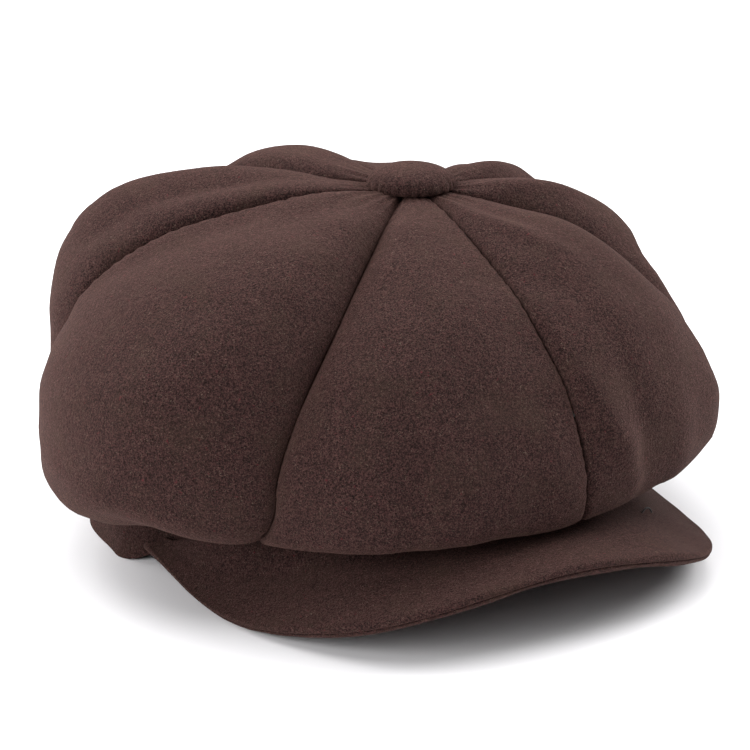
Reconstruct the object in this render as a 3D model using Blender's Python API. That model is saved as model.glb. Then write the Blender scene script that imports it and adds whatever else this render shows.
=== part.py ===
# An eight-panel newsboy cap, built as its sewn pieces.
# +Z is up, -Y is the front and +X is the wearer's left.
# The lengths named here are in millimetres.

from math import cos, pi, radians, sin

import bmesh
import bpy
from mathutils import Vector

MM = 0.001
GAP = 0.3

# The crown: panels sewn to one another round the button. A panel's grid counts
# turns from the centre front seam towards the wearer's left.
PANELS = 8
APEX = Vector((12, 0, 140))
CROWN_CENTRE = Vector((1, 4, 0))
WOOL = 2.0
EYE_RADIUS = 5.0
SEAM_GAP = 1.2
PUFF_POWER = 2.2
SWELL = 6.75
DRIFT_POWER = 1.5

# One row for each seam: its reach at the widest, the roundness of its shoulder
# and how far it stands from even spacing, in degrees.
SEAMS = (
    (138, 1.9, 7),
    (139, 1.8, 8),
    (132, 2.2, 7),
    (133, 1.7, 1),
    (136, 2.4, -4),
    (126, 1.9, -8),
    (138, 2.5, -13),
    (137, 1.4, 0),
)
# One row for each panel, from the same seam on: its reach, its roundness, the
# height of the puff between its seams and how far its widest line is raised.
PUFFS = (
    (142, 2.1, 11, 4),
    (141, 1.9, 15, -12),
    (140, 2.0, 9, -8),
    (146, 2.0, 3, 3),
    (142, 1.8, 22, -6),
    (140, 3.0, 8, 9),
    (150, 2.3, 11, 6),
    (144, 2.2, 12, -4),
)

# Heights of the widest line and of the hem, each with its lift towards the front.
WIDEST_HEIGHT = 58
WIDEST_LIFT = -5
HEM_HEIGHT = 27
HEM_LIFT = 8
HEM_REACH = 109
HEM_POWER = 0.75

# The band round the head. Its lower edge rises with the peak at the front.
BAND_X = 102.0
BAND_Y = 94.0
BAND_HEIGHT = 30.0
BUCKRAM = 0.8
SWEATBAND = 1.2
INNER_BAND_SETBACK = 1.0
BAND_TO_HEM = 3.5
BACK_REST_ANGLE = radians(120)

# The peak, whose plan is a squared half oval in front of the band.
PEAK_X = 105.0
PEAK_SIDE_Y = -12.0
PEAK_FRONT_Y = -149.0
PEAK_SQUARENESS = 2.8
PEAK_RISE = 34.0
PEAK_SLOPE = 0.108
PEAK_ARCH = 0.0033
PEAK_END = radians(85)
PEAK_COVER = 1.1
PEAK_SEAM_GAP = 1.8
PEAK_BOARD = 1.0
BOARD_INSET = 0.05
HINGE = Vector((0, -8, 5))

# The covered button and what holds it.
BUTTON_RADIUS = 17.5
BUTTON_HEIGHT = 9.5
BUTTON_FOOT = 1.5
BUTTON_COVER = 1.0
BUTTON_SHELL = 0.6
BUTTON_PLATE = 0.8
SHANK_RADIUS = 1.5
RETAINER_RADIUS = 8.0
PATCH_RADIUS = 12.0
PATCH = 0.8
PATCH_DROP = 5.2
RETAINER_DROP = PATCH_DROP + GAP + BUTTON_PLATE

LINING = 0.6
LINING_REACH = 114
LINING_DOME_SHARE = 0.75
LINING_TOP_DROP = 10
LINING_EYE = 3.0
LINING_ROUNDNESS = 1.6
LINING_LIFT = 12
LINING_BAND_GAP = 4.0

# The thread tacks that hold the crown's front down on the peak.
TACK_X = (-26, 20, 66)
TACK_Y = -108
TACK_RADIUS = 0.8
TACK_LENGTH = 2.5

PANEL_COLUMNS = 6
SHOULDER_ROWS = 8
SIDE_ROWS = 6
TURN_ROWS = 3
LINING_COLUMNS = 4
LINING_ROWS = 8
RING_SEGMENTS = 48
PEAK_COLUMNS = 24
PEAK_ROWS = 5
ROUND_STEPS = 24
DOME_STEPS = 6

MELTON_WOOL = ("melton_wool", (0.065, 0.032, 0.028), 0.95, 0.0)
SATIN = ("lining_satin", (0.030, 0.020, 0.018), 0.45, 0.0)
CANVAS = ("buckram_canvas", (0.55, 0.50, 0.42), 0.9, 0.0)
TWILL = ("sweatband_twill", (0.028, 0.020, 0.018), 0.8, 0.0)
POLYTHENE = ("board_polythene", (0.62, 0.62, 0.60), 0.5, 0.0)
ALUMINIUM = ("button_aluminium", (0.80, 0.80, 0.82), 0.35, 1.0)
THREAD = ("sewing_thread", (0.020, 0.014, 0.013), 0.8, 0.0)


def mix(start, end, share):
    return start * (1 - share) + end * share


def clear_scene():
    for old in list(bpy.data.objects):
        bpy.data.objects.remove(old, do_unlink=True)


def material(look):
    name, colour, roughness, metallic = look
    made = bpy.data.materials.get(name)
    if made is None:
        made = bpy.data.materials.new(name)
        made.use_nodes = True
        shader = made.node_tree.nodes["Principled BSDF"]
        shader.inputs["Base Color"].default_value = (*colour, 1)
        shader.inputs["Roughness"].default_value = roughness
        shader.inputs["Metallic"].default_value = metallic
    return made


def add_object(name, mesh, look, origin):
    made = bpy.data.objects.new(name, mesh)
    made.location = origin * MM
    mesh.materials.append(material(look))
    mesh.shade_smooth()
    bpy.context.scene.collection.objects.link(made)
    return made


def add_sheet(name, rows, thickness, look, origin=Vector(), ring=False):
    # Rows run along the outer face, which the thickness goes in from.
    columns = len(rows[0])
    cells = columns if ring else columns - 1
    shape = bmesh.new()
    grid = []
    for row in rows:
        grid.append([shape.verts.new((point - origin) * MM) for point in row])
    for lower, upper in zip(grid, grid[1:]):
        for left in range(cells):
            right = (left + 1) % columns
            shape.faces.new((lower[left], lower[right], upper[right], upper[left]))
    mesh = bpy.data.meshes.new(name)
    shape.to_mesh(mesh)
    shape.free()
    made = add_object(name, mesh, look, origin)
    thicken = made.modifiers.new("thickness", "SOLIDIFY")
    thicken.thickness = thickness * MM
    thicken.offset = -1
    return made


def add_turned(name, profile, look, origin):
    # The profile is a list of (radius, height) from the top outwards and down.
    shape = bmesh.new()
    corners = [shape.verts.new((radius * MM, 0, height * MM)) for radius, height in profile]
    on_axis = profile[0][0] == 0 and profile[-1][0] == 0
    for first, second in zip(corners, corners[1:]):
        shape.edges.new((first, second))
    if not on_axis:
        shape.edges.new((corners[-1], corners[0]))
    mesh = bpy.data.meshes.new(name)
    shape.to_mesh(mesh)
    shape.free()
    made = add_object(name, mesh, look, origin)
    turn = made.modifiers.new("turn", "SCREW")
    turn.steps = ROUND_STEPS
    turn.render_steps = ROUND_STEPS
    turn.use_merge_vertices = True
    turn.merge_threshold = 0.00001
    turn.use_smooth_shade = True
    return made


def around(angle, reach_x, reach_y):
    return Vector((reach_x * sin(angle), -reach_y * cos(angle), 0))


def peak_height(x, y):
    return PEAK_RISE - PEAK_SLOPE * (-y - BAND_Y) - PEAK_ARCH * x * x


def peak_point(x, y, lift):
    slope_x = -2 * PEAK_ARCH * x
    normal = Vector((-slope_x, -PEAK_SLOPE, 1)).normalized()
    return Vector((x, y, peak_height(x, y))) + normal * lift


def peak_outer(turn):
    power = 2 / PEAK_SQUARENESS
    side = 1 if turn >= 0 else -1
    x = side * PEAK_X * abs(sin(turn)) ** power
    y = mix(PEAK_SIDE_Y, PEAK_FRONT_Y, abs(cos(turn)) ** power)
    return x, y


def peak_rows(lift, inset):
    rows = []
    for row in range(PEAK_ROWS + 1):
        outward = mix(inset, 1 - inset, row / PEAK_ROWS)
        points = []
        for column in range(PEAK_COLUMNS + 1):
            share = 2 * column / PEAK_COLUMNS - 1
            inner = around(share * PEAK_END, BAND_X + PEAK_SEAM_GAP, BAND_Y + PEAK_SEAM_GAP)
            outer_x, outer_y = peak_outer(share * pi / 2)
            x = mix(inner.x, outer_x, outward)
            y = mix(inner.y, outer_y, outward)
            points.append(peak_point(x, y, lift))
        rows.append(points)
    return rows


def peak_settle():
    # How far the peak moves so that its corners stand on the floor.
    lowest = -PEAK_BOARD / 2 - GAP - PEAK_COVER
    return -min(point.z for row in peak_rows(lowest, 0) for point in row)


def band_edge(angle):
    # The lower edge rides on the peak at the front and on the floor behind.
    turned = abs((angle + pi) % (2 * pi) - pi)
    at = min(turned, PEAK_END)
    seat = around(at, BAND_X, BAND_Y)
    height = peak_height(seat.x, seat.y) - PEAK_COVER - PEAK_BOARD
    if turned > PEAK_END:
        share = min((turned - PEAK_END) / (BACK_REST_ANGLE - PEAK_END), 1)
        height *= (1 + cos(share * pi)) / 2
    return height


def crown_value(entry, turn, puff):
    # A seam's value at its seam, and a puff's value halfway between seams.
    first = int(turn // 1) % PANELS
    second = (first + 1) % PANELS
    seam = mix(SEAMS[first][entry], SEAMS[second][entry], turn % 1)
    return mix(seam, PUFFS[first][entry], puff)


def crown_angle(turn, out):
    first = int(turn // 1) % PANELS
    second = (first + 1) % PANELS
    shift = mix(SEAMS[first][2], SEAMS[second][2], turn % 1)
    return radians(360 / PANELS * turn + shift * out)


def crown_shoulder(turn, drop):
    # From the apex at 0 to the widest line at 1.
    puff = 1 - abs(2 * (turn % 1) - 1) ** PUFF_POWER
    out = sin(drop * pi / 2)
    angle = crown_angle(turn, out)
    reach = crown_value(0, turn, puff)
    roundness = crown_value(1, turn, puff)
    swell, raised = PUFFS[int(turn // 1) % PANELS][2:]
    widest = WIDEST_HEIGHT + WIDEST_LIFT * cos(angle) + raised * puff
    rise = (1 - out ** roundness) ** (1 / roundness)
    centre = mix(APEX, CROWN_CENTRE, out ** DRIFT_POWER)
    point = centre + around(angle, reach * out, reach * out)
    point.z = mix(widest, APEX.z, rise) + swell * puff * SWELL * out ** 2 * (1 - out)
    return point


def crown_side(turn, drop):
    # From the widest line at 0 to the fold above the band at 1.
    widest = crown_shoulder(turn, 1)
    angle = crown_angle(turn, 1)
    out = widest - CROWN_CENTRE
    reach = Vector((out.x, out.y, 0)).length
    reach = mix(HEM_REACH, reach, cos(drop * pi / 2) ** HEM_POWER)
    hem = HEM_HEIGHT + HEM_LIFT * cos(angle)
    point = CROWN_CENTRE + around(angle, reach, reach)
    point.z = mix(widest.z, hem, sin(drop * pi / 2) ** HEM_POWER)
    return point


def crown_turning(turn, share):
    # From the fold, up and in to the band's upper edge.
    fold = crown_side(turn, 1)
    angle = crown_angle(turn, 1)
    seat = around(angle, BAND_X + BAND_TO_HEM, BAND_Y + BAND_TO_HEM)
    seat.z = band_edge(angle) + BAND_HEIGHT + SETTLE
    across = sin(share * pi / 2)
    return Vector((
        mix(fold.x, seat.x, across),
        mix(fold.y, seat.y, across),
        mix(fold.z, seat.z, 1 - cos(share * pi / 2)),
    ))


def panel_turn(panel, column, columns):
    # Panels stop short of their seams, so neighbours never touch.
    edge = SEAM_GAP / (SEAMS[panel][0] * 2 * pi / PANELS)
    return panel + mix(edge, 1 - edge, column / columns)


def crown_panel(panel):
    eye = EYE_RADIUS / SEAMS[panel][0] * 2 / pi
    steps = [(crown_turning, 1 - row / TURN_ROWS) for row in range(TURN_ROWS)]
    steps += [(crown_side, 1 - row / SIDE_ROWS) for row in range(SIDE_ROWS)]
    steps += [(crown_shoulder, mix(1, eye, row / SHOULDER_ROWS)) for row in range(SHOULDER_ROWS + 1)]
    rows = []
    for shape, share in steps:
        turns = [panel_turn(panel, column, PANEL_COLUMNS) for column in range(PANEL_COLUMNS + 1)]
        rows.append([shape(turn, share) for turn in turns])
    return add_sheet(f"crown_panel_{panel + 1}", rows, WOOL, MELTON_WOOL)


def lining_point(turn, share):
    # A plain dome inside the crown, sewn in at the band's upper edge.
    angle = radians(360 / PANELS * turn)
    top = APEX.z - LINING_TOP_DROP
    seat = around(angle, BAND_X - WOOL, BAND_Y - WOOL)
    seat.z = band_edge(angle) + BAND_HEIGHT + SETTLE + LINING_BAND_GAP
    widest = around(angle, LINING_REACH, LINING_REACH)
    widest.z = seat.z + LINING_LIFT
    if share <= LINING_DOME_SHARE:
        out = mix(LINING_EYE / LINING_REACH, 1, share / LINING_DOME_SHARE)
        rise = (1 - out ** LINING_ROUNDNESS) ** (1 / LINING_ROUNDNESS)
        centre = mix(APEX, Vector(), out ** DRIFT_POWER)
        point = centre + around(angle, LINING_REACH * out, LINING_REACH * out)
        point.z = mix(widest.z, top, rise)
        return point
    return mix(widest, seat, (share - LINING_DOME_SHARE) / (1 - LINING_DOME_SHARE))


def lining_panel(panel):
    rows = []
    for row in range(LINING_ROWS + 1):
        turns = [panel_turn(panel, column, LINING_COLUMNS) for column in range(LINING_COLUMNS + 1)]
        rows.append([lining_point(turn, 1 - row / LINING_ROWS) for turn in turns])
    return add_sheet(f"lining_panel_{panel + 1}", rows, LINING, SATIN)


def band_ring(name, inset, thickness, look, setback):
    rows = []
    for upper in (0, 1):
        row = []
        for segment in range(RING_SEGMENTS):
            angle = 2 * pi * segment / RING_SEGMENTS
            point = around(angle, BAND_X - inset, BAND_Y - inset)
            lower_edge = max(band_edge(angle) + SETTLE * front_share(angle), 0)
            point.z = lower_edge + mix(setback, BAND_HEIGHT - setback, upper)
            row.append(point)
        rows.append(row)
    return add_sheet(name, rows, thickness, look, ring=True)


def front_share(angle):
    # 1 along the peak, fading to 0 where the band stands on the floor.
    turned = abs((angle + pi) % (2 * pi) - pi)
    share = (turned - PEAK_END) / (BACK_REST_ANGLE - PEAK_END)
    return (1 + cos(min(max(share, 0), 1) * pi)) / 2


def band():
    within = WOOL + GAP
    band_ring("headband", 0, WOOL, MELTON_WOOL, 0)
    band_ring("band_buckram", within, BUCKRAM, CANVAS, INNER_BAND_SETBACK)
    within += BUCKRAM + GAP
    band_ring("sweatband", within, SWEATBAND, TWILL, INNER_BAND_SETBACK)


def peak_layer(name, top, inset, thickness, look):
    rows = peak_rows(top, inset)
    rise = Vector((0, 0, SETTLE))
    rows = [[point + rise for point in row] for row in reversed(rows)]
    return add_sheet(name, rows, thickness, look, HINGE)


def peak():
    board_top = PEAK_BOARD / 2
    peak_layer("peak_top_cover", board_top + GAP + PEAK_COVER, 0, PEAK_COVER, MELTON_WOOL)
    peak_layer("peak_board", board_top, BOARD_INSET, PEAK_BOARD, POLYTHENE)
    peak_layer("peak_under_cover", -board_top - GAP, 0, PEAK_COVER, MELTON_WOOL)


def dome_arc(radius, height):
    # From the top of a dome down to its rim.
    arc = []
    for step in range(DOME_STEPS + 1):
        angle = step * pi / 2 / DOME_STEPS
        arc.append((radius * sin(angle), BUTTON_FOOT + height * cos(angle)))
    return arc


def dome_shell(name, inset, wall, look):
    outer = dome_arc(BUTTON_RADIUS - inset, BUTTON_HEIGHT - inset)
    inner = dome_arc(BUTTON_RADIUS - inset - wall, BUTTON_HEIGHT - inset - wall)
    return add_turned(name, outer + inner[::-1], look, APEX)


def disc(name, inner, outer, foot, thickness, look):
    profile = [
        (inner, foot + thickness),
        (outer, foot + thickness),
        (outer, foot),
        (inner, foot),
    ]
    return add_turned(name, profile, look, APEX)


def button():
    shell_inset = BUTTON_COVER + GAP
    plate_radius = BUTTON_RADIUS - shell_inset - BUTTON_SHELL - GAP
    dome_shell("button_cover", 0, BUTTON_COVER, MELTON_WOOL)
    dome_shell("button_shell", shell_inset, BUTTON_SHELL, ALUMINIUM)
    disc("button_back_plate", 0, plate_radius, BUTTON_FOOT, BUTTON_PLATE, ALUMINIUM)
    shank_length = RETAINER_DROP + BUTTON_FOOT - GAP
    disc("button_shank", 0, SHANK_RADIUS, -RETAINER_DROP, shank_length, ALUMINIUM)
    hole = SHANK_RADIUS + GAP
    disc("button_retainer", hole, RETAINER_RADIUS, -RETAINER_DROP, BUTTON_PLATE, ALUMINIUM)


def apex_patch():
    disc("apex_patch", SHANK_RADIUS + GAP, PATCH_RADIUS, -PATCH_DROP, PATCH, CANVAS)


def front_tacks():
    for number, x in enumerate(TACK_X):
        lift = PEAK_BOARD / 2 + GAP + PEAK_COVER + GAP
        foot = peak_point(x, TACK_Y, lift) + Vector((0, 0, SETTLE))
        profile = [
            (0, TACK_LENGTH),
            (TACK_RADIUS, TACK_LENGTH),
            (TACK_RADIUS, 0),
            (0, 0),
        ]
        add_turned(f"front_tack_{number + 1}", profile, THREAD, foot)


def centre_on_floor():
    # The origin is the middle of the whole cap's box, on the floor.
    bpy.context.view_layer.update()
    depsgraph = bpy.context.evaluated_depsgraph_get()
    corners = []
    for made in bpy.context.scene.objects:
        solid = made.evaluated_get(depsgraph)
        corners += [solid.matrix_world @ Vector(corner) for corner in solid.bound_box]
    low = Vector([min(corner[axis] for corner in corners) for axis in range(3)])
    high = Vector([max(corner[axis] for corner in corners) for axis in range(3)])
    middle = (low + high) / 2
    for made in bpy.context.scene.objects:
        made.location -= Vector((middle.x, middle.y, low.z))


SETTLE = peak_settle()


def main():
    clear_scene()
    for panel in range(PANELS):
        crown_panel(panel)
        lining_panel(panel)
    band()
    peak()
    button()
    apex_patch()
    front_tacks()
    centre_on_floor()


main()
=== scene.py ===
import math

import bmesh
import bpy
import numpy as np
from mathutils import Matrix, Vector


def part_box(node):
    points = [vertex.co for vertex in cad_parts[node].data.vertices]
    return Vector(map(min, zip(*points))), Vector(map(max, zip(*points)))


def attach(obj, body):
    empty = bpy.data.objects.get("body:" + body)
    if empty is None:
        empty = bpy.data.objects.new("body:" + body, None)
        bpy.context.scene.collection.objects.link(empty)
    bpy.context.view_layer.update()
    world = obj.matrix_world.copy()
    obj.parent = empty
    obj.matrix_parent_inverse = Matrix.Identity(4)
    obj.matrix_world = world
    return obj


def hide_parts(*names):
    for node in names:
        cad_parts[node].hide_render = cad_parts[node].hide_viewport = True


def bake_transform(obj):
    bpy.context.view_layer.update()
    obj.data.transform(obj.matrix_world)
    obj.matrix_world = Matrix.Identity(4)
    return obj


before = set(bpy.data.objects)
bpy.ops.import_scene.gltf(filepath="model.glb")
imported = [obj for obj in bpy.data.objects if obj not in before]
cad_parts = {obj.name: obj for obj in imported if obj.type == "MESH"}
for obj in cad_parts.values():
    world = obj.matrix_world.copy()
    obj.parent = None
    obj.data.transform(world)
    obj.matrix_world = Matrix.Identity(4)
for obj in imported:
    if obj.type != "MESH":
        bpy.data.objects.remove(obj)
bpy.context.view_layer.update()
mm = 0.001

# Shapes are worked out in millimetres round the middle of the head band, with -Y to the
# front, and then moved to where the frame has the band.
bandLow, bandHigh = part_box("headband")
bandMiddle = (bandLow + bandHigh) / 2
capPlace = Vector((bandMiddle.x, bandMiddle.y, 0))


# colours and node helpers

def linear(hexCode):
    channels = [int(hexCode[i:i + 2], 16) / 255 for i in (1, 3, 5)]
    curve = [c / 12.92 if c <= 0.04045 else ((c + 0.055) / 1.055) ** 2.4 for c in channels]
    return (*curve, 1.0)


def addNode(tree, kind, settings=None, links=None):
    # links: input name or number, and the socket to join to it or the value to give it
    made = tree.nodes.new(kind)
    for name, value in (settings or {}).items():
        setattr(made, name, value)
    for name, value in (links or {}).items():
        if isinstance(value, bpy.types.NodeSocket):
            tree.links.new(value, made.inputs[name])
        else:
            made.inputs[name].default_value = value
    return made


def newMaterial(name):
    made = bpy.data.materials.new(name)
    made.use_nodes = True
    tree = made.node_tree
    place = addNode(tree, "ShaderNodeTexCoord").outputs["Object"]
    return made, tree, tree.nodes["Principled BSDF"], place


def addNoise(tree, place, size, detail=2.0, roughness=0.5, distortion=0.0):
    # size: how far apart the grains are, in mm
    return addNode(tree, "ShaderNodeTexNoise", None, {
        "Vector": place, "Scale": 1 / (size * mm), "Detail": detail, "Roughness": roughness,
        "Distortion": distortion})


def addRamp(tree, factor, stops):
    made = addNode(tree, "ShaderNodeValToRGB", None, {"Fac": factor})
    ramp = made.color_ramp
    while len(ramp.elements) < len(stops):
        ramp.elements.new(1.0)
    for element, (place, colour) in zip(ramp.elements, stops):
        element.position = place
        element.color = colour
    return made.outputs["Color"]


def addRange(tree, value, start, end, low, high):
    made = addNode(tree, "ShaderNodeMapRange", None, {0: value, 1: start, 2: end, 3: low, 4: high})
    return made.outputs["Result"]


def addMix(tree, kind, factor, first, second):
    made = addNode(tree, "ShaderNodeMix", {"data_type": "RGBA", "blend_type": kind}, {
        0: factor, 6: first, 7: second})
    return made.outputs[2]


def addBump(tree, shader, height, distance, strength=1.0):
    bump = addNode(tree, "ShaderNodeBump", None, {
        "Strength": strength, "Distance": distance * mm, "Height": height})
    tree.links.new(bump.outputs["Normal"], shader.inputs["Normal"])


def setShader(tree, shader, **values):
    for name, value in values.items():
        socket = shader.inputs[name.replace("_", " ")]
        if isinstance(value, bpy.types.NodeSocket):
            tree.links.new(value, socket)
        else:
            socket.default_value = value


# materials

wool = {
    "dark": "#130B0B",          # shade between the fibres
    "ground": "#281918",        # the dark brown most fibres are dyed to
    "light": "#442D2B",         # paler fibres that give the heather
    "olive": "#33261F",
    "red": "#5E1F27",
    "pale": "#857264",
    "fibre": 0.62,              # mm, clumps of fibre, because single ones are too fine to show
    "clump": 2.4,               # mm, brushed tufts
    "clumpShade": ((0.66, 0.65, 0.64, 1), (1.31, 1.29, 1.26, 1)),
    "mottle": 18.0,             # mm, slow change of shade
    "hair": 1.0,                # mm, short pale hairs
    "spot": 1.3,                # mm, odd red fibres
    "nap": 0.4,                 # mm, height of the brushed nap
    "roughness": 0.95,
    "sheen": 0.22,
    "sheenTint": "#B08478",
    "specular": 0.12,
}


def meltonWool(name):
    # Melton wool is milled and brushed until no weave shows. It gives a matt, faintly furry
    # surface with flecks of paler and redder fibre and a pale edge where it turns away.
    made, tree, shader, place = newMaterial(name)
    fibre = addNoise(tree, place, wool["fibre"], 2.0, 0.6, 0.8).outputs["Fac"]
    clump = addNoise(tree, place, wool["clump"], 3.0, 0.65, 0.5).outputs["Fac"]
    mottle = addNoise(tree, place, wool["mottle"], 3.0, 0.55).outputs["Fac"]
    hair = addNoise(tree, place, wool["hair"], 1.0, 0.5, 3.5).outputs["Fac"]
    spot = addNoise(tree, place, wool["spot"], 0.0, 0.5, 1.0).outputs["Fac"]
    colour = addRamp(tree, fibre, [
        (0.38, linear(wool["dark"])), (0.48, linear(wool["ground"])), (0.62, linear(wool["light"]))])
    shade = addRamp(tree, clump, list(zip((0.3, 0.7), wool["clumpShade"])))
    colour = addMix(tree, "MULTIPLY", 0.8, colour, shade)
    olive = addRange(tree, mottle, 0.5, 0.75, 0.0, 0.45)
    pale = addRange(tree, hair, 0.64, 0.74, 0.0, 0.5)
    red = addRange(tree, spot, 0.83, 0.86, 0.0, 0.6)
    colour = addMix(tree, "MIX", olive, colour, linear(wool["olive"]))
    colour = addMix(tree, "MIX", pale, colour, linear(wool["pale"]))
    colour = addMix(tree, "MIX", red, colour, linear(wool["red"]))
    height = addNode(tree, "ShaderNodeMath", {"operation": "MULTIPLY_ADD"}, {0: clump, 1: 1.1, 2: fibre})
    addBump(tree, shader, height.outputs["Value"], wool["nap"])
    setShader(tree, shader, Base_Color=colour, Roughness=wool["roughness"],
              Specular_IOR_Level=wool["specular"], Sheen_Weight=wool["sheen"], Sheen_Roughness=0.5,
              Sheen_Tint=linear(wool["sheenTint"]))
    return made


def waveScale(pitch):
    # the bands come out about seven threads wide, because single threads are too fine to show
    return 1 / (20 * pitch * mm)


cloths = {
    # thread colours, mm from thread to thread, and mm of relief
    "polyesterSatin": {"threads": ("#2A1F1D", "#3A2C29"), "pitch": 0.35,        # smooth, with a soft gleam
                       "roughness": 0.38, "sheen": 0.1, "relief": 0.05},
    "cottonTwill": {"threads": ("#2B211F", "#3D302C"), "pitch": 0.7,            # matt, with slanting ribs
                    "roughness": 0.85, "sheen": 0.25, "relief": 0.15},
    "buckramCanvas": {"threads": ("#B3A88F", "#CFC6B2"), "pitch": 1.2,          # pale, coarse and stiff
                      "roughness": 0.9, "sheen": 0.1, "relief": 0.25},
}


def wovenCloth(name):
    # Two sets of threads crossing, read as fine slanting bands with slubs between them.
    cloth = cloths[name]
    pitch, roughness = cloth["pitch"], cloth["roughness"]
    made, tree, shader, place = newMaterial(name)
    bands = addNode(tree, "ShaderNodeTexWave", {"bands_direction": "DIAGONAL"}, {
        "Vector": place, "Scale": waveScale(pitch), "Distortion": 0.4, "Detail": 1.0}).outputs["Fac"]
    slub = addNoise(tree, place, pitch * 3, 3.0).outputs["Fac"]
    worn = addNoise(tree, place, pitch * 30, 3.0).outputs["Fac"]
    first, second = (linear(thread) for thread in cloth["threads"])
    colour = addRamp(tree, bands, [(0.2, first), (0.8, second)])
    shade = addRamp(tree, slub, [(0.3, (0.85, 0.85, 0.85, 1)), (0.7, (1.12, 1.12, 1.12, 1))])
    colour = addMix(tree, "MULTIPLY", 0.8, colour, shade)
    height = addNode(tree, "ShaderNodeMath", {"operation": "ADD"}, {0: bands, 1: slub})
    addBump(tree, shader, height.outputs["Value"], cloth["relief"], 0.6)
    setShader(tree, shader, Base_Color=colour, Sheen_Weight=cloth["sheen"],
              Roughness=addRange(tree, worn, 0.3, 0.7, roughness * 0.9, roughness))
    return made


def sheetPolythene():
    # Cut polythene board is pale and waxy, with fine scuffs that break up its gloss.
    made, tree, shader, place = newMaterial("sheetPolythene")
    scuffSize = 1.5
    scuff = addNoise(tree, place, scuffSize, 4.0).outputs["Fac"]
    colour = addRamp(tree, scuff, [(0.3, linear("#C8C6BE")), (0.7, linear("#DAD8D2"))])
    roughness = addRange(tree, scuff, 0.3, 0.7, 0.42, 0.62)
    setShader(tree, shader, Base_Color=colour, IOR=1.52, Roughness=roughness)
    return made


def pressedAluminium():
    # Thin pressed aluminium is satin grey, with faint marks left by the press.
    made, tree, shader, place = newMaterial("pressedAluminium")
    markSize = 0.8
    marks = addNoise(tree, place, markSize, 2.0).outputs["Fac"]
    colour = addRamp(tree, marks, [(0.3, linear("#BFC0C2")), (0.7, linear("#CDCED0"))])
    roughness = addRange(tree, marks, 0.3, 0.7, 0.28, 0.45)
    setShader(tree, shader, Base_Color=colour, Metallic=1.0, Roughness=roughness)
    return made


def spunThread():
    # Spun polyester thread is dark and matt, with its twist showing as slanting bands.
    made, tree, shader, place = newMaterial("spunThread")
    twistPitch = 0.4
    twist = addNode(tree, "ShaderNodeTexWave", {"bands_direction": "DIAGONAL"}, {
        "Vector": place, "Scale": waveScale(twistPitch), "Distortion": 1.0}).outputs["Fac"]
    colour = addRamp(tree, twist, [(0.2, linear("#120C0B")), (0.8, linear("#2B201E"))])
    setShader(tree, shader, Base_Color=colour, Roughness=0.75, Sheen_Weight=0.2)
    return made


print("materials")
woolCloth = meltonWool("meltonWool")
satinCloth = wovenCloth("polyesterSatin")
twillCloth = wovenCloth("cottonTwill")
canvasCloth = wovenCloth("buckramCanvas")
boardSheet = sheetPolythene()
buttonMetal = pressedAluminium()
threadFibre = spunThread()


# mesh helpers

def mix(start, end, share):
    return start * (1 - share) + end * share


def smooth(value, start, end):
    share = np.clip((value - start) / (end - start), 0, 1)
    return share * share * (3 - 2 * share)


def bump(value, middle, width):
    return np.exp(-((value - middle) / width) ** 2)


def ripple(points, size, seed):
    # a smooth wandering field from about -1 to 1, with swells about size mm across
    draw = np.random.RandomState(seed)
    total = np.zeros(points.shape[:-1])
    for wave in range(7):
        direction = draw.normal(size=3)
        direction *= draw.uniform(0.7, 1.5) * 2 * np.pi / size / np.linalg.norm(direction)
        total += np.sin(points @ direction + draw.uniform(0, 2 * np.pi))
    return total / 3.5


def addMesh(name, points, faces, cloth):
    mesh = bpy.data.meshes.new(name)
    mesh.from_pydata((points.reshape(-1, 3) * mm + np.array(capPlace)).tolist(), [], faces)
    mesh.materials.append(cloth)
    made = bpy.data.objects.new(name, mesh)
    bpy.context.scene.collection.objects.link(made)
    return made


def cellFaces(rows, columns, rowsClose=False, columnsClose=False):
    r, c = np.meshgrid(np.arange(rows if rowsClose else rows - 1),
                       np.arange(columns if columnsClose else columns - 1), indexing="ij")
    down, right = (r + 1) % rows, (c + 1) % columns
    here, below = r * columns, down * columns
    return np.stack([here + c, here + right, below + right, below + c], -1).reshape(-1, 4).tolist()


def sheetMesh(name, points, thickness, cloth):
    # points: rows x columns x 3 over the outer face; the thickness goes in from it
    made = addMesh(name, points, cellFaces(*points.shape[:2]), cloth)
    thicken = made.modifiers.new("thickness", "SOLIDIFY")
    thicken.thickness = thickness * mm
    thicken.offset = -1
    bpy.context.view_layer.update()
    thick = made.evaluated_get(bpy.context.evaluated_depsgraph_get())
    made.data = bpy.data.meshes.new_from_object(thick)
    made.modifiers.clear()
    made.data.shade_smooth()
    return made


def loopMesh(name, loops, cloth, ring=False):
    # loops: stations x points x 3; each loop closes on itself, and the ends are capped
    stations, count = loops.shape[:2]
    faces = cellFaces(stations, count, rowsClose=ring, columnsClose=True)
    if not ring:
        faces += [list(range(count)), list(range((stations - 1) * count, stations * count))]
    made = addMesh(name, loops, faces, cloth)
    shape = bmesh.new()
    shape.from_mesh(made.data)
    bmesh.ops.remove_doubles(shape, verts=shape.verts, dist=0.01 * mm)
    bmesh.ops.recalc_face_normals(shape, faces=shape.faces)
    shape.to_mesh(made.data)
    shape.free()
    made.data.shade_smooth()
    return made


def joinPieces(name, parts):
    with bpy.context.temp_override(active_object=parts[0], selected_editable_objects=parts):
        bpy.ops.object.join()
    parts[0].name = name
    return parts[0]


def fit(piece, body, nodes, bends=False):
    # hides the plain solids that a piece stands for, then hangs the piece on its body, or bakes its place
    # into its mesh where it bends
    if nodes:
        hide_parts(*nodes)
    if bends:
        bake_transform(piece)
    else:
        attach(piece, body)


# the band and peak plan

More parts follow.
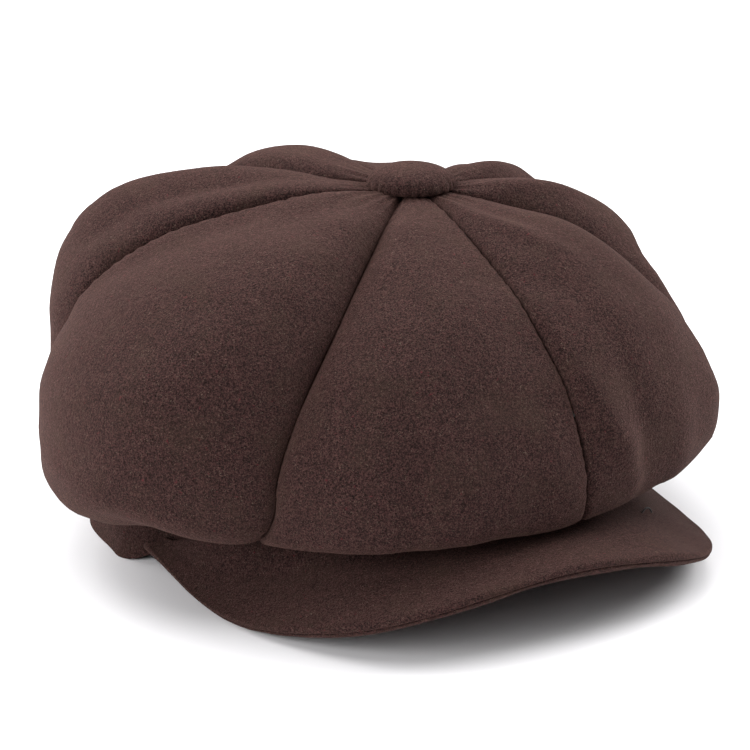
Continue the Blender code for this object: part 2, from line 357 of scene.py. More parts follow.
band = {
    "reach": (102.0, 94.0),     # outside of the wool, across and front to back
    "height": 30.0,
    "wool": 2.0,
    "restAngle": math.radians(120),     # where the lower edge comes down to the floor
    "underPeak": 2.1,           # how far the lower edge lies under the peak's middle
    "slack": 24.0,              # how far the lower edge sags out behind the right temple
}
floorGap = 0.1                  # mm, so that nothing lies in the floor itself
peak = {
    "halfWidth": 105.0,
    "sideY": -12.0,
    "rightTip": 11.0,           # how much further back the wearer's right corner reaches
    "rightFlare": 4.0,          # and how much further out
    "frontY": -149.0,
    "squareness": 2.8,
    "rise": 34.0,
    "slope": 0.108,
    "arch": 0.0033,
    "end": math.radians(85),    # how far round the band it is sewn
    "rightEnd": math.radians(5),        # how much further on the right
    "seamGap": 1.8,
    "board": 0.5,               # half the board's thickness
    "gap": 0.3,                 # from the board to a cover
    "half": 1.9,                # half the whole thickness
    "roll": 1.5,                # how far the turned edge stands past the board's plan
    "welt": 0.35,               # how much the edge is fuller than the middle
    "upturn": 9.0,              # how far it curves up where it is sewn to the band
    "stations": 150,
}


def around(angle, reachX, reachY):
    return np.stack([reachX * np.sin(angle), -reachY * np.cos(angle), np.zeros_like(angle)], -1)


def turnedFrom(angle):
    return np.abs((angle + np.pi) % (2 * np.pi) - np.pi)


def peakHeight(x, y, settle):
    return peak["rise"] - peak["slope"] * (-y - band["reach"][1]) - peak["arch"] * x * x + settle


def peakPoint(share, across, out, lift, settle):
    # share -1 to 1 from corner to corner, across 0 to 1 from the band to the outer edge,
    # then out and lift in mm past that
    power = 2 / peak["squareness"]
    turned = share * np.pi / 2
    back = smooth(-share, 0.93, 1.0)
    wide = peak["halfWidth"] + peak["rightFlare"] * smooth(-share, 0.5, 0.85)
    edge = np.stack([wide * np.sign(turned) * np.abs(np.sin(turned)) ** power,
                     mix(peak["sideY"], peak["frontY"], np.abs(np.cos(turned)) ** power)
                     + peak["rightTip"] * back], -1)
    end = peak["end"] + peak["rightEnd"] * back
    seat = around(share * end, *(reach + peak["seamGap"] for reach in band["reach"]))[..., :2]
    outward = (edge - seat) / np.maximum(np.linalg.norm(edge - seat, axis=-1, keepdims=True), 1)
    plan = mix(seat, edge, across[..., None]) + outward * out[..., None]
    x, y = plan[..., 0], plan[..., 1]
    normal = np.stack([2 * peak["arch"] * x, np.full_like(x, -peak["slope"]), np.ones_like(x)], -1)
    normal /= np.linalg.norm(normal, axis=-1, keepdims=True)
    upturn = peak["upturn"] * (1 - smooth(across, 0, 0.3)) * (1 - smooth(np.abs(share), 0.8, 1))
    return np.stack([x, y, peakHeight(x, y, settle) + upturn], -1) + normal * lift[..., None]


def lowestUnderside():
    share, across = np.meshgrid(np.linspace(-1, 1, 49), np.linspace(0, 1, 6))
    return peakPoint(share, across, 0 * share, np.full_like(share, -peak["half"]), 0)[..., 2].min()


settle = -lowestUnderside()     # brings the peak's two corners down to the floor


def bandEdge(angle):
    # the lower edge rides on the peak at the front and stands on the floor behind
    turned = turnedFrom(angle)
    seat = around(np.minimum(turned, peak["end"]), *band["reach"])
    share = np.clip((turned - peak["end"]) / (band["restAngle"] - peak["end"]), 0, 1)
    top = peakHeight(seat[..., 0], seat[..., 1], settle) - band["underPeak"]
    return np.maximum(top * (1 + np.cos(share * np.pi)) / 2, floorGap)


# the crown

crown = {
    "apex": (12.6, 0.2, 140.2),
    "centre": (1.0, 4.0),
    "eye": 5.0,                 # radius of the hole under the button
    "puffPower": 2.2,
    # one row for each seam, from the centre front towards the wearer's left: reach, roundness
    # of the shoulder, degrees off even spacing, more degrees below the widest line, bow
    "seams": np.array([
        (136.7, 1.90, 6.9, 0.1, -1.4), (138.9, 1.68, 8.2, -7.9, 4.5),
        (128.4, 2.35, 14.0, 0.0, 0.0), (131.3, 1.66, 2.2, 0.0, 0.0),
        (138.1, 2.90, -7.2, 0.0, -0.8), (118.2, 1.92, -11.3, 0.0, -5.1),
        (138.5, 2.49, -16.6, -8.6, -0.3), (131.1, 1.71, -0.5, -6.0, 4.4)]),
    # one row for each panel: reach, roundness, puff, lift of its widest line
    "puffs": np.array([
        (135.8, 1.90, 5.9, 16.0), (133.5, 2.02, 12.0, -20.0), (134.6, 2.00, 12.0, -15.0),
        (147.4, 1.72, 8.7, -1.9), (140.4, 1.98, 21.0, -14.0), (138.5, 3.30, 6.0, 24.0),
        (152.3, 2.10, 4.0, 11.3), (140.7, 1.85, 2.5, -3.5)]),
    "widest": (55.8, -4.1),     # height of the widest line, and its change front to back
    "hem": (29.0, 6.6, 3.0),    # height of the fold at the bottom, and its change both ways
    # turn, width and height of each wave in the fold
    "hemLifts": ((6.70, 0.13, 4.0), (7.60, 0.22, 2.2), (1.50, 0.35, 2.4)),
    "drape": 6.0,               # least height from the fold up to the widest line
    "hemReach": 112.7,
    "hemPower": 0.48,
    "seat": 2.3,                # gap from the band where the cloth is sewn to it
    "wool": 2.0,
    "groove": 2.3,              # depth and width of the fine line where the cloth turns in
    "grooveWidth": 0.8,
    "dip": 1.0,                 # and of the soft dip each side of it
    "dipWidth": 5.0,
    "unevenPitch": 43.0,        # how often a seam's depth rises and falls
    "usualReach": 136.0,
    "dropLength": 160.0,        # cloth from the apex to the widest line, about
    "pucker": 0.35,             # height of the small beads along a seam
    "puckerPitch": 5.5,
    "gathers": 0.25,            # height of the gathers round the button
    "swells": ((0.8, 58, 3, 12), (0.3, 21, 5, 5)),      # height, size, seed, and width left flat by a seam
    "hemWave": (0.6, 24, 8),    # the same for the waves along the fold
    "columns": 56,
    "rows": 96,
}

# soft folds left in the cloth: a path of (turn, drop), then width and height in mm
folds = [
    {"path": [(0.0, 0.4), (0.04, 0.55), (0.07, 0.7), (0.13, 0.89), (0.22, 1.06), (0.3, 1.5)],
     "width": 6.5, "height": 2.4},
    {"path": [(0.2, 0.42), (0.25, 0.67), (0.26, 0.8), (0.28, 0.95), (0.31, 1.15), (0.33, 1.7)],
     "width": 8.0, "height": -2.4},
    {"path": [(0.5, 0.75), (0.52, 0.95), (0.55, 1.2), (0.5, 1.6)], "width": 11, "height": 2.0},
    {"path": [(0.2, 0.1), (0.22, 0.2), (0.3, 0.34), (0.42, 0.46)], "width": 4.5, "height": 1.5},
    {"path": [(0.34, 0.12), (0.4, 0.24), (0.5, 0.36)], "width": 5, "height": -1.2},
    {"path": [(7.45, 0.76), (7.44, 0.88), (7.43, 1.0), (7.44, 1.2), (7.44, 1.7)],
     "width": 5.5, "height": -1.9},
    {"path": [(7.62, 0.82), (7.6, 1.0), (7.6, 1.5)], "width": 8, "height": 1.0},
    {"path": [(7.13, 0.8), (7.13, 1.0), (7.14, 1.5)], "width": 9, "height": -1.3},
    {"path": [(7.82, 0.88), (7.8, 1.0), (7.82, 1.5)], "width": 8, "height": -1.3},
    {"path": [(5.85, 0.1), (5.86, 0.25), (5.88, 0.42), (5.9, 0.6), (5.9, 0.8)],
     "width": 7, "height": 1.6},
    {"path": [(5.7, 0.12), (5.74, 0.3), (5.77, 0.5), (5.8, 0.72)], "width": 4.5, "height": -0.6},
    {"path": [(1.0, 0.45), (1.0, 0.6), (1.0, 0.75)], "width": 8, "height": -2.0},
    {"path": [(0.8, 0.8), (0.82, 1.0), (0.82, 1.2)], "width": 16, "height": 3.0},
    {"path": [(1.3, 0.55), (1.35, 0.7), (1.4, 0.9)], "width": 15, "height": -4.0},
    {"path": [(6.0, 0.72), (6.0, 0.86), (6.0, 1.0), (6.0, 1.2)], "width": 8, "height": -2.5},
    {"path": [(6.0, 0.06), (6.0, 0.2), (6.0, 0.4), (6.0, 0.6), (6.0, 0.78)],
     "width": 12, "height": 4.2},
    {"path": [(5.44, 0.15), (5.48, 0.35), (5.52, 0.56), (5.56, 0.78)], "width": 14, "height": 3.2},
    {"path": [(4.92, 0.1), (4.88, 0.24), (4.8, 0.42), (4.72, 0.6)], "width": 7, "height": 1.8},
    {"path": [(4.6, 0.1), (4.55, 0.26), (4.5, 0.45)], "width": 8, "height": -1.4},
    {"path": [(6.2, 1.05), (6.5, 1.12), (6.75, 1.2), (6.9, 1.3)], "width": 9, "height": 1.6},
    {"path": [(6.45, 1.6), (6.62, 1.45), (6.8, 1.6)], "width": 6, "height": -2.0},
    {"path": [(6.2, 0.1), (6.24, 0.22), (6.3, 0.36)], "width": 7, "height": 1.3},
    {"path": [(1.3, 0.1), (1.34, 0.24), (1.45, 0.42)], "width": 6, "height": 1.6},
    {"path": [(2.25, 0.12), (2.3, 0.3), (2.4, 0.5)], "width": 7, "height": 2.2},
    {"path": [(2.55, 0.14), (2.6, 0.34), (2.66, 0.55)], "width": 7, "height": -2.0},
    {"path": [(1.5, 0.8), (1.5, 1.0), (1.52, 1.5), (1.52, 1.95)], "width": 12, "height": -1.4},
    {"path": [(2.5, 0.85), (2.46, 1.05), (2.5, 1.6)], "width": 10, "height": -2.0},
    {"path": [(3.35, 0.8), (3.4, 1.0), (3.4, 1.6)], "width": 9, "height": -2.2},
    {"path": [(3.7, 0.7), (3.7, 0.95), (3.72, 1.5)], "width": 10, "height": 1.8},
    {"path": [(4.45, 0.85), (4.5, 1.05), (4.46, 1.6)], "width": 9, "height": -2.2},
    {"path": [(5.4, 0.9), (5.44, 1.1), (5.4, 1.6)], "width": 9, "height": -2.0},
]


def betweenSeams(entry, turn):
    first = np.floor(turn).astype(int) % 8
    seams = crown["seams"][:, entry]
    return mix(seams[first], seams[(first + 1) % 8], turn - np.floor(turn))


def crownPoint(turn, drop):
    # drop runs from the apex at 0 to the widest line at 1, the fold at 2 and the band at 3
    panel = np.floor(turn).astype(int) % 8
    puff = 1 - np.abs(2 * (turn - np.floor(turn)) - 1) ** crown["puffPower"]
    out = np.sin(np.clip(drop, 0, 1) * np.pi / 2)
    below = np.clip(drop - 1, 0, 1)
    shift = betweenSeams(2, turn) * out + betweenSeams(3, turn) * below
    angle = np.radians(45 * turn + shift + betweenSeams(4, turn) * 4 * out * (1 - out))
    reach = mix(betweenSeams(0, turn), crown["puffs"][panel, 0], puff)
    roundness = mix(betweenSeams(1, turn), crown["puffs"][panel, 1], puff)
    widest = crown["widest"][0] + crown["widest"][1] * np.cos(angle) + crown["puffs"][panel, 3] * puff
    rise = np.clip(1 - out ** roundness, 0, 1) ** (1 / roundness)
    swell = crown["puffs"][panel, 2] * puff * 6.75 * out ** 2 * (1 - out)
    centre = mix(np.array(crown["apex"][:2]), np.array(crown["centre"]), out[..., None] ** 1.5)
    hem = crown["hem"][0] + crown["hem"][1] * np.cos(angle) + crown["hem"][2] * np.sin(angle)
    for middle, width, lift in crown["hemLifts"]:
        hem = hem + lift * bump(turn % 8, middle, width)
    above = hem + crown["drape"]        # the widest line stays above the fold
    widest = above + 2 * np.logaddexp(0, (widest - above) / 2)
    tuck = np.clip(np.cos(below * np.pi / 2), 0, 1) ** crown["hemPower"]
    fall = np.sin(below * np.pi / 2) ** crown["hemPower"]
    wide = np.where(drop > 1, mix(crown["hemReach"], reach, tuck), reach * out)
    point = around(angle, wide, wide)
    point[..., :2] += centre
    dome = mix(widest, crown["apex"][2], rise) + swell
    point[..., 2] = np.where(drop > 1, mix(widest, hem, fall), dome)
    seat = around(angle, *(reach + crown["seat"] for reach in band["reach"]))
    seat[..., 2] = bandEdge(angle) + band["height"]
    turning = np.clip(drop - 2, 0, 1)[..., None] * np.pi / 2
    plan = mix(point[..., :2], seat[..., :2], np.sin(turning))
    return np.concatenate([plan, mix(point[..., 2:], seat[..., 2:], 1 - np.cos(turning))], -1)


def crownNormal(turn, drop):
    # taken over a wide step, so that both sides of a seam share one direction
    wide, step = 0.06, 0.03
    alongTurn = crownPoint(turn + wide, drop) - crownPoint(turn - wide, drop)
    below, above = np.minimum(drop + step, 3), np.maximum(drop - step, 0.01)
    normal = np.cross(crownPoint(turn, below) - crownPoint(turn, above), alongTurn)
    return normal / np.maximum(np.linalg.norm(normal, axis=-1, keepdims=True), 1e-9)


def foldRelief(points):
    relief = np.zeros(points.shape[:-1])
    for fold in folds:
        path = np.array(fold["path"])
        steps = np.linspace(0, len(path) - 1, 32)
        turns, drops = (np.interp(steps, np.arange(len(path)), path[:, entry]) for entry in (0, 1))
        away = np.linalg.norm(points[..., None, :] - crownPoint(turns, drops), axis=-1)
        fade = np.sin(np.pi * (away.argmin(-1) + 0.5) / 32) ** 0.7
        relief += fold["height"] * fade * bump(away.min(-1), 0, fold["width"])
    return relief


def evenDrops(number):
    # rows spaced evenly along the cloth from the eye to the band
    eye = crown["eye"] / crown["seams"][number, 0] * 2 / np.pi
    fine = np.linspace(eye, 3, 900)
    middle = crownPoint(np.full_like(fine, number + 0.5), fine)
    side = crownPoint(np.full_like(fine, number + 0.02), fine)
    length = sum(np.linalg.norm(np.diff(line, axis=0), axis=-1) for line in (middle, side))
    length = np.concatenate([[0], np.cumsum(length)])
    return np.interp(np.linspace(0, length[-1], crown["rows"]), length, fine)


def crownPanel(number):
    columns = np.linspace(0, 1, crown["columns"] + 1)
    spread = np.clip(mix(columns, 0.5 - 0.5 * np.cos(np.pi * columns), 0.8), 1e-4, 1 - 1e-4)
    turn, drop = np.meshgrid(number + spread, evenDrops(number))
    points = crownPoint(turn, drop)
    out = np.sin(np.clip(drop, 0, 1) * np.pi / 2)
    along = drop * crown["dropLength"] + 7 * number      # so that no two seams match
    wide = crown["usualReach"] * np.maximum(out, 0.03) * np.pi / 4
    fromSeam = np.minimum(spread, 1 - spread) * wide
    uneven = 1 + 0.25 * np.sin(along * 2 * np.pi / crown["unevenPitch"])
    depth = np.clip(out * 4, 0.3, 1) * uneven
    relief = -crown["groove"] * depth * np.exp(-fromSeam / crown["grooveWidth"])
    relief -= crown["dip"] * depth * np.exp(-fromSeam / crown["dipWidth"])
    beads = np.sin(along * 2 * np.pi / crown["puckerPitch"] + 2 * ripple(points, 30, 11))
    relief += crown["pucker"] * beads * bump(fromSeam, 0, 3)
    gathers = np.cos(2 * np.pi * 4.5 * turn + 1.5 * np.sin(2.6 * turn))
    relief += crown["gathers"] * gathers * bump(out, 0.17, 0.08)
    relief += foldRelief(points)
    for (height, size, seed, flat), least in zip(crown["swells"], (0, 0.2)):
        relief += height * ripple(points, size, seed) * np.clip(fromSeam / flat, least, 1)
    height, size, seed = crown["hemWave"]
    relief += height * ripple(points * (1, 1, 0.3), size, seed) * smooth(drop, 1.5, 2.0)
    relief *= 1 - smooth(drop, 2.3, 2.9)        # none where it is sewn to the band
    points = points + crownNormal(turn, drop) * relief[..., None]
    return sheetMesh(f"woolPanel{number + 1}", points[::-1], crown["wool"], woolCloth)


bendingPanels = (0, 1, 5, 6, 7)     # the ones that are sewn where the peak pulls on the band

print("crown")
for number in range(8):
    node = f"crown_panel_{number + 1}"
    fit(crownPanel(number), "cap", [node], number in bendingPanels)


# the lining

lining = {
    "reach": 113.5,
    "eye": 3.0,
    "dome": 0.75,               # share of a panel's length that is dome, before it turns in
    "topDrop": 10.0,
    "roundness": 1.6,
    "lift": 12.0,
    "thickness": 0.6,
    "slack": 0.9,               # depth of its soft folds, which only go inwards
    "seamDepth": 1.2,
    "columns": 20,
    "rows": 40,
}


def liningPanel(number):
    columns = np.clip(np.linspace(0, 1, lining["columns"] + 1), 2e-3, 1 - 2e-3)
    turn, share = np.meshgrid(number + columns, np.linspace(0, 1, lining["rows"]))
    angle = turn * np.pi / 4
    seat = around(angle, *(reach - band["wool"] for reach in band["reach"]))
    seat[..., 2] = bandEdge(angle) + band["height"] + 4
    out = mix(lining["eye"] / lining["reach"], 1, np.minimum(share / lining["dome"], 1))
    rise = np.clip(1 - out ** lining["roundness"], 0, 1) ** (1 / lining["roundness"])
    fromSeam = np.minimum(columns, 1 - columns) * lining["reach"] * out * np.pi / 4
    folded = (1 + ripple(seat + rise[..., None] * 60, 26, 9)) / 2
    inward = lining["seamDepth"] * np.exp(-fromSeam / 2) + lining["slack"] * folded
    wide = lining["reach"] * out - inward * out
    dome = around(angle, wide, wide)
    dome[..., :2] += mix(np.array(crown["apex"][:2]), np.zeros(2), out[..., None] ** 1.5)
    top = crown["apex"][2] - lining["topDrop"]
    dome[..., 2] = mix(seat[..., 2] + lining["lift"], top, rise) - inward * rise
    turnIn = np.clip((share - lining["dome"]) / (1 - lining["dome"]), 0, 1)
    points = mix(dome, seat, turnIn[..., None])
    return sheetMesh(f"satinPanel{number + 1}", points[::-1], lining["thickness"], satinCloth)


print("lining")
for number in range(8):
    node = f"lining_panel_{number + 1}"
    fit(liningPanel(number), "cap", [node], number in bendingPanels)


# the band, its stiffening and the sweatband

layers = {
    "woolBand": {"inset": 0.0, "thickness": 2.0, "setback": 0.0, "sag": 1.0, "cloth": woolCloth,
                 "node": "headband", "slot": "melton_wool", "pucker": 0.5},
    "buckramStrip": {"inset": 2.3, "thickness": 0.8, "setback": 1.0, "sag": 0.42,
                     "cloth": canvasCloth, "node": "band_buckram", "slot": "buckram_canvas", "pucker": 0.0},
    "twillSweatband": {"inset": 3.4, "thickness": 1.2, "setback": 1.0, "sag": 0.36,
                       "cloth": twillCloth, "node": "sweatband", "slot": "sweatband_twill", "pucker": 0.15},
}


def sag(angle, height):
    # the cloth spreads on the floor behind each temple, most on the wearer's right
    turned = np.degrees((angle + np.pi) % (2 * np.pi) - np.pi)
    right = smooth(-turned, 81, 95) * (1 - smooth(-turned, 124, 160))
    right = right * mix(0.72, 1, smooth(-turned, 96, 116))
    left = smooth(turned, 86, 104) * (1 - smooth(turned, 112, 150))
    return band["slack"] * (right + 0.2 * left) * np.clip(1 - height, 0, 1) ** 0.85


def bandLoop(layer):
    # a layer's cross-section, with both its edges rounded
    half = layer["thickness"] / 2
    corner = np.linspace(0, np.pi, 9)
    up = np.linspace(0, 1, 15)[1:-1]
    side = np.full_like(up, half)
    low, high = layer["setback"] + half, band["height"] - layer["setback"] - half
    over = np.concatenate([half * np.cos(corner), -side, half * np.cos(corner + np.pi), side])
    tall = np.concatenate([high + half * np.sin(corner), mix(high, low, up),
                           low + half * np.sin(corner + np.pi), mix(low, high, up)])
    return over, tall


def bandRing(name, layer):
    over, tall = bandLoop(layer)
    angle = np.linspace(0, 2 * np.pi, 300, endpoint=False)[:, None] + 0 * tall
    tall = tall + 0 * angle
    share = tall / band["height"]
    spread = over - layer["thickness"] / 2 - layer["inset"] + layer["sag"] * sag(angle, share)
    loose = 1 + 0.1 * sag(angle, 0.5)
    waves = np.sin(angle * 34 + 3 * np.sin(angle * 5)) * np.sin(np.pi * share)
    spread = spread + layer["pucker"] * loose * waves
    loops = around(angle, *(reach + spread for reach in band["reach"]))
    turned = np.degrees((angle + np.pi) % (2 * np.pi) - np.pi)
    down = layer["sag"] * smooth(np.abs(turned), 82, 92) * bandEdge(angle)
    loops[..., 2] = np.maximum(bandEdge(angle) - down * (1 - share) ** 1.5 + tall, floorGap)
    return loopMesh(name, loops, layer["cloth"], ring=True)


stitch = {"count": 150, "radius": 0.22, "length": 2.0, "height": 4.0, "inset": 4.75}


def dash(first, last, radius):
    # a short bar of thread that sinks into the cloth at both ends
    share = np.linspace(0, 1, 5)[:, None]
    line = mix(first, last, share)
    along = (last - first) / np.linalg.norm(last - first)
    side = np.cross(along, (0, 0, 1))
    top = np.cross(side, along)
    turned = np.linspace(0, 2 * np.pi, 8, endpoint=False)
    ring = side * np.cos(turned)[:, None] + top * np.sin(turned)[:, None]
    thick = radius * np.sin(np.pi * mix(0.15, 0.85, share))
    return line[:, None] + ring[None] * thick[..., None]


def sweatbandStitches():
    angles = np.linspace(0, 2 * np.pi, stitch["count"], endpoint=False)
    parts = []
    for angle in angles:
        ends = np.array([angle, angle + stitch["length"] / np.mean(band["reach"])])
        slack = sag(ends, stitch["height"] / band["height"])
        out = stitch["inset"] - layers["twillSweatband"]["sag"] * slack
        points = around(ends, *(reach - out for reach in band["reach"]))
        points[:, 2] = bandEdge(ends) + stitch["height"]
        parts.append(loopMesh("stitch", dash(points[0], points[1], stitch["radius"]), threadFibre))
    return joinPieces("sweatbandStitches", parts)


print("band")
for name, layer in layers.items():
    fit(bandRing(name, layer), "cap", [layer["node"]], True)
fit(sweatbandStitches(), "cap", [], True)


# the peak

def peakLoops(top):
    # one cover's cross-section: along its inner face, round the turned edge and back
    side = 1 if top else -1
    inside = peak["board"] + peak["gap"]
    back = np.linspace(0, 1, 14)
    flat = np.linspace(1, 0, 34)
    turned = np.linspace(0, np.pi / 2, 9)[1:-1]
    edge = 0.2 + (peak["half"] + peak["welt"] - 0.2) * np.sin(turned)
    across = np.concatenate([back, np.ones(2), 0 * turned + 1, flat])
    out = np.concatenate([0 * back, [0.35, peak["roll"] - 0.45], peak["roll"] * np.cos(turned), 0 * flat])
    lift = np.concatenate([0 * back + inside, [0.05, 0.05], edge,
                           peak["half"] + peak["welt"] * bump(flat, 1, 0.1)])
    even = np.linspace(-1, 1, peak["stations"])
    closer = np.sin(0.97 * even * np.pi / 2) / np.sin(0.97 * np.pi / 2)     # denser at the corners
    share = mix(even, closer, 0.4)
    grid = np.ones((len(share), len(across)))
    loops = peakPoint(grid * share[:, None], grid * across, grid * out, grid * lift * side, settle)
    outside = np.clip((lift - inside) / 1.1, 0, 1)
    soft = 0.35 * ripple(loops, 48, 21) + 0.15 * ripple(loops, 16, 22) * bump(across, 1, 0.15)
    loops[..., 2] += side * outside * soft * smooth(across, 0, 0.1)
    loops[..., 2] = np.maximum(loops[..., 2], floorGap)
    return loops


def boardLoops():
    # the board inside the covers, with its cut edges a little rounded
    flat = np.linspace(0.05, 0.95, 24)
    turned = np.linspace(-np.pi / 2, np.pi / 2, 7)
    across = np.concatenate([flat, np.full(7, 0.95), flat[::-1], np.full(7, 0.05)])
    out = peak["board"] * np.concatenate([0 * flat, np.cos(turned), 0 * flat, -np.cos(turned)])
    lift = peak["board"] * np.concatenate([0 * flat - 1, np.sin(turned), 0 * flat + 1, -np.sin(turned)])
    share = np.linspace(-0.97, 0.97, 100)
    grid = np.ones((len(share), len(across)))
    return peakPoint(grid * share[:, None], grid * across, grid * out, grid * lift, settle)


print("peak")
fit(loopMesh("peakTop", peakLoops(True), woolCloth), "peak", ["peak_top_cover"])
fit(loopMesh("peakUnderside", peakLoops(False), woolCloth), "peak", ["peak_under_cover"])
fit(loopMesh("polytheneBoard", boardLoops(), boardSheet), "peak", ["peak_board"])


# the thread tacks between the crown's front and the peak

tack = {
    "places": ((-26.0, -108.0), (20.0, -108.0), (64.0, -101.0)),
    "radius": 0.35,
    "arch": 2.4,
    "span": 2.6,
}


def tackLoop(x, y):
    turned = np.linspace(0, np.pi, 15)
    foot = np.array([x, y, peakHeight(x, y, settle) + peak["half"] - 0.1])
    arch = [tack["span"] * np.cos(turned), 0.5 * np.sin(2 * turned), tack["arch"] * np.sin(turned)]
    line = foot + np.stack(arch, -1)
    along = np.gradient(line, axis=0)
    along /= np.linalg.norm(along, axis=-1, keepdims=True)
    side = np.cross(along, (0, 1, 0))
    spin = np.linspace(0, 2 * np.pi, 10, endpoint=False)
    ring = side[:, None] * np.cos(spin)[:, None] + np.array((0, 1, 0)) * np.sin(spin)[:, None]
    return line[:, None] + ring * tack["radius"]


print("tacks")
for number, (x, y) in enumerate(tack["places"]):
    fit(loopMesh(f"threadTack{number + 1}", tackLoop(x, y), threadFibre), "peak",
        [f"front_tack_{number + 1}"])


# the covered button

button = {
    "centre": (12.0, 0.0, 140.0),
    "radius": 17.0,
    "height": 7.4,
    "foot": 1.2,                # how high its underside stands over the apex
    "roundness": 2.35,
    "tuckIn": 4.0,              # how far the cloth turns under
    "gathers": 26,
    "gatherDepth": 0.3,
    "cloth": 1.0,
    "shell": 0.6,               # the pressed dome's thickness
    "shellGap": 1.35,           # from the outside of the cloth to the dome
    "plate": ((0.0, 1.5), (0.0, 2.3), (13.9, 2.3), (14.2, 2.2), (14.3, 1.9), (14.2, 1.6), (13.9, 1.5)),
}


def buttonCover():
    angle = np.linspace(0, 2 * np.pi, 180, endpoint=False)
    share = np.linspace(0, 1, 34)
    spread = np.sin(share * np.pi / 2) ** (2 / button["roundness"]) * button["radius"]
    rise = np.cos(share * np.pi / 2) ** (2 / button["roundness"]) * button["height"]
    under = np.linspace(0, 1, 7)[1:]
    spread = np.concatenate([spread, button["radius"] - button["tuckIn"] * under])
    rise = np.concatenate([rise, -0.9 * np.sin(under * np.pi / 2)])
    turned, wide = np.meshgrid(angle, np.maximum(spread, 0.02))
    tall = np.repeat(rise[:, None], len(angle), 1)
    pleat = np.cos(turned * button["gathers"] + 1.7 * np.sin(turned * 3 + 1) + 0.9 * np.sin(turned * 7))
    edge = np.clip(wide / button["radius"], 0, 1) ** 3
    wide = wide + button["gatherDepth"] * pleat * edge * smooth(button["height"] - tall, 1.5, 7)
    points = np.stack([wide * np.cos(turned), wide * np.sin(turned), tall + button["foot"]], -1)
    points[..., 2] += 0.25 * ripple(points, 14, 31) * edge * (tall > 0)
    points = points + np.array(button["centre"])
    points = np.concatenate([points, points[:, :1]], 1)
    return sheetMesh("woolButton", points, button["cloth"], woolCloth)


def buttonShell():
    # the pressed dome under the cloth, with its rim rolled
    angle = np.linspace(0, 2 * np.pi, 96, endpoint=False)[:, None]
    share = np.linspace(0.02, 1, 20)
    rim = np.linspace(0, np.pi, 7)[1:-1]
    bow = np.sin(share * np.pi / 2) ** (2 / button["roundness"])
    rise = np.cos(share * np.pi / 2) ** (2 / button["roundness"])
    wide, tall = button["radius"] - button["shellGap"], button["height"] - button["shellGap"]
    inside = button["shell"]
    rolled = wide - inside / 2 * (1 - np.cos(rim))
    spread = np.concatenate([bow * wide, rolled, (bow * (wide - inside))[::-1]])
    height = np.concatenate([rise * tall, -inside / 2 * np.sin(rim), (rise * (tall - inside))[::-1]])
    height = height + button["foot"] + 0.4 + 0 * angle
    loops = np.stack([spread * np.cos(angle), spread * np.sin(angle), height], -1)
    return loopMesh("aluminiumShell", loops + np.array(button["centre"]), buttonMetal, ring=True)


def buttonPlate():
    # the disc that closes the dome, with a rounded rim
    angle = np.linspace(0, 2 * np.pi, 72, endpoint=False)[:, None]
    wide, tall = (line + 0 * angle for line in np.transpose(button["plate"]))
    loops = np.stack([wide * np.cos(angle), wide * np.sin(angle), tall], -1)
    return loopMesh("aluminiumPlate", loops + np.array(button["centre"]), buttonMetal, ring=True)


print("button")
fit(buttonCover(), "button", ["button_cover"])
fit(buttonShell(), "button", ["button_shell"])
fit(buttonPlate(), "button", ["button_back_plate"])


patch = {
    # the cross-section from the hole for the shank round to the cut edge: reach and height
    "section": ((1.8, -4.8), (1.8, -4.4), (7, -4.4), (11.4, -4.4), (12.1, -4.8), (11.4, -5.2), (7, -5.2),
                (1.9, -5.2)),
    "wavyFrom": 11.0,
}


def canvasPatch():
    # a disc of canvas that spreads the button's pull, a little wavy at its cut edge
    angle = np.linspace(0, 2 * np.pi, 64, endpoint=False)[:, None]
    wave = 0.3 * np.sin(5 * angle) + 0.15 * np.sin(11 * angle)
    wide, tall = np.transpose(patch["section"])
    wide, tall = wide + wave * (wide > patch["wavyFrom"]), tall + 0 * angle
    loops = np.stack([wide * np.cos(angle), wide * np.sin(angle), tall], -1) + np.array(button["centre"])
    return loopMesh("canvasPatch", loops, canvasCloth, ring=True)


print("canvas patch")
fit(canvasPatch(), "cap", ["apex_patch"])

# pieces carried over from the frame as they are
for node in ("button_shank", "button_retainer"):
    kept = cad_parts[node]
    kept.data.materials.clear()
    kept.data.materials.append(buttonMetal)


# camera, lights and floor

view = {
    "azimuth": -28.0,
    "distance": 950.0,
    "height": 386.0,
    "aside": -4.0,
    "aimHeight": 61.0,
    "lens": 116.0,
    "sensor": 36.0,
}


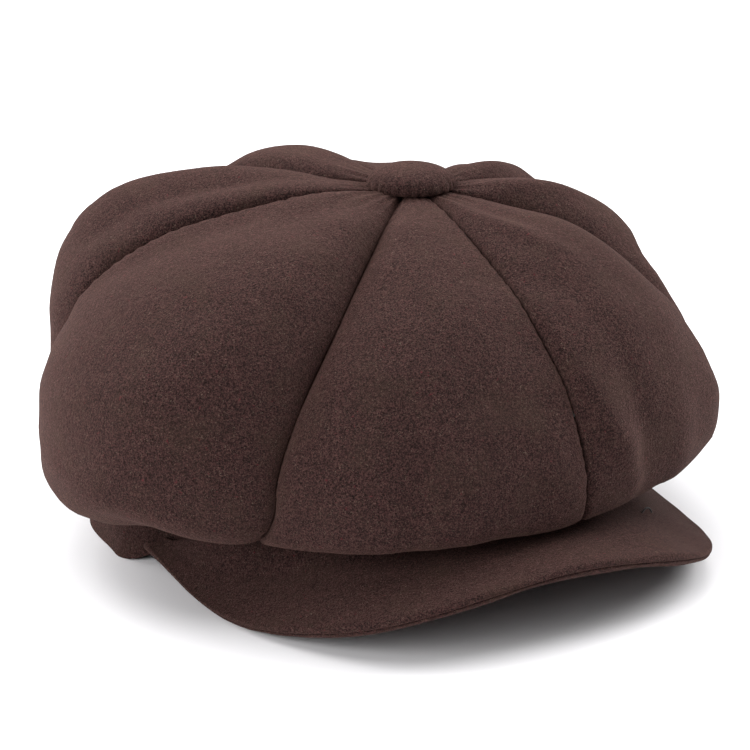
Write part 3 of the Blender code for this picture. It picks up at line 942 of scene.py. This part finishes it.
def setCamera():
    turned = math.radians(view["azimuth"])
    sine, cosine = math.sin(turned), math.cos(turned)
    eye = Vector((sine * view["distance"], -cosine * view["distance"], view["height"]))
    aim = Vector((cosine * view["aside"], sine * view["aside"], view["aimHeight"]))
    camera = bpy.data.objects.new("camera", bpy.data.cameras.new("camera"))
    camera.data.lens = view["lens"]
    camera.data.sensor_width = view["sensor"]
    camera.location = eye * mm + capPlace
    camera.rotation_euler = (aim - eye).to_track_quat("-Z", "Y").to_euler()
    bpy.context.scene.collection.objects.link(camera)
    bpy.context.scene.camera = camera


lights = {
    # place and size in metres and power of each soft lamp; all point at the cap
    "softCeiling": {"place": (0.0, 0.3, 1.8), "size": 2.6, "power": 41},
    "softBack": {"place": (-0.8, 1.5, 1.2), "size": 1.2, "power": 28},
    "softLeft": {"place": (-1.5, -0.5, 0.8), "size": 1.2, "power": 22},
    "softRight": {"place": (1.3, -0.1, 0.9), "size": 1.0, "power": 22},
}
lampAim = 0.05                  # metres over the floor
studio = {"floorSize": 16, "floor": "#F8F7F9", "roughness": 0.95, "world": 0.16}


def addLight(name, setting):
    lamp = bpy.data.lights.new(name, "AREA")
    lamp.shape = "DISK"
    lamp.size = setting["size"]
    lamp.energy = setting["power"]
    made = bpy.data.objects.new(name, lamp)
    made.location = setting["place"]
    towards = Vector((0, 0, lampAim)) - made.location
    made.rotation_euler = towards.to_track_quat("-Z", "Y").to_euler()
    bpy.context.scene.collection.objects.link(made)


def addStage():
    bpy.ops.mesh.primitive_plane_add(size=studio["floorSize"])
    floor = bpy.context.active_object
    floor.name = "floor"
    made, tree, shader, place = newMaterial("paleFloor")
    setShader(tree, shader, Base_Color=linear(studio["floor"]), Roughness=studio["roughness"],
              Specular_IOR_Level=0.1)
    floor.data.materials.append(made)
    world = bpy.data.worlds.new("studio")
    world.use_nodes = True
    back = world.node_tree.nodes["Background"]
    back.inputs["Color"].default_value = (1, 1, 1, 1)
    back.inputs["Strength"].default_value = studio["world"]
    bpy.context.scene.world = world
    bpy.context.scene.view_settings.view_transform = "Standard"


print("stage")
setCamera()
addStage()
for name, setting in lights.items():
    addLight(name, setting)
